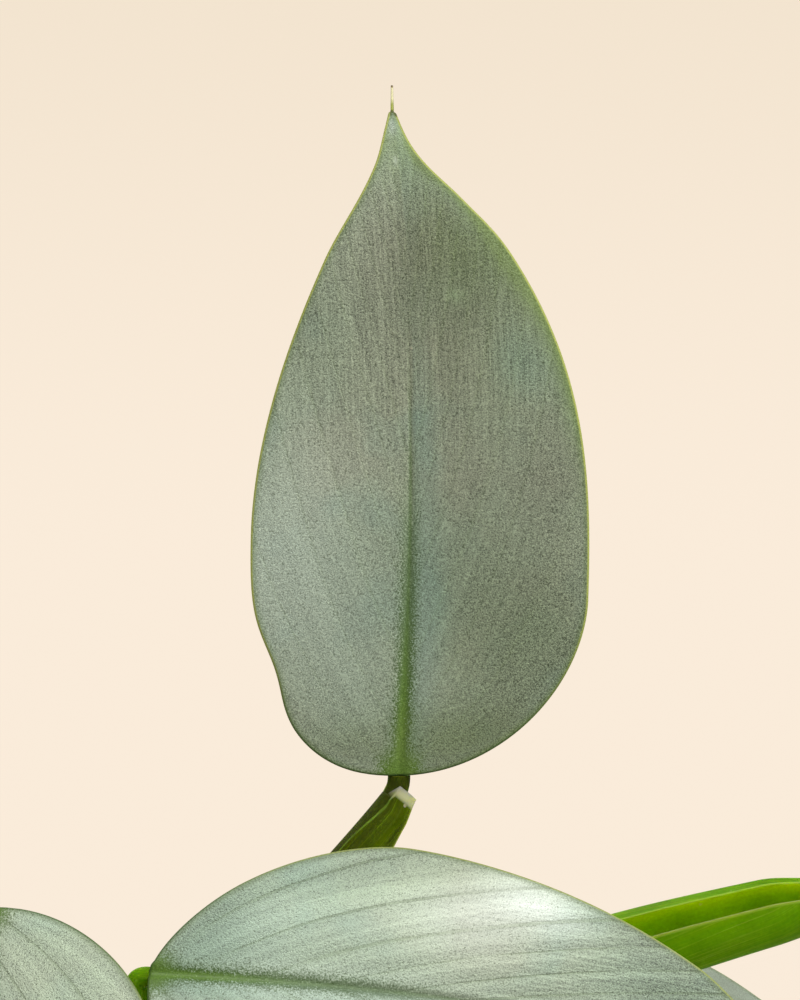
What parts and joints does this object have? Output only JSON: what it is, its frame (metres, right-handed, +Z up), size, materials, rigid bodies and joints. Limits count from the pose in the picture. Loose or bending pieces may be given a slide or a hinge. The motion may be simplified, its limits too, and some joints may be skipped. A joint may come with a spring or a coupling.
{
  "type": "potted philodendron hastatum",
  "caption": "House plant with silvery, spear-shaped leaves on sheathed green petioles and short climbing stems, in a plain clay pot of potting mix.",
  "frame": {"origin": "centre of the pot's flat underside, on the surface that it stands on", "axes": "+Z up through the plant; -Y is the side with the tall upright leaf's upper face, +X is to its right"},
  "size_m": [0.4503, 0.363, 0.4323],
  "materials": {
    "terracotta": "matt, unglazed",
    "potting_mix": "matt, crumbly",
    "stem": "satin",
    "petiole": "satin",
    "blade": "satin, silvery",
    "new_leaf": "satin"
  },
  "bodies": {
    "root": {"pot": "terracotta", "potting_mix": "potting_mix", "stem_a": "stem", "stem_b": "stem", "stem_c": "stem", "petiole_01": "petiole", "blade_01": "blade", "petiole_02": "petiole", "blade_02": "blade", "petiole_03": "petiole", "blade_03": "blade", "petiole_04": "petiole", "blade_04": "blade", "petiole_05": "petiole", "blade_05": "blade", "petiole_06": "petiole", "blade_06": "blade", "petiole_07": "petiole", "blade_07": "blade", "petiole_08": "petiole", "blade_08": "blade", "petiole_09": "petiole", "blade_09": "blade", "petiole_10": "petiole", "blade_10": "blade", "petiole_11": "petiole", "blade_11": "blade", "petiole_12": "petiole", "blade_12": "blade", "new_leaf_b": "new_leaf", "new_leaf_c": "new_leaf"}
  },
  "joints": []
}
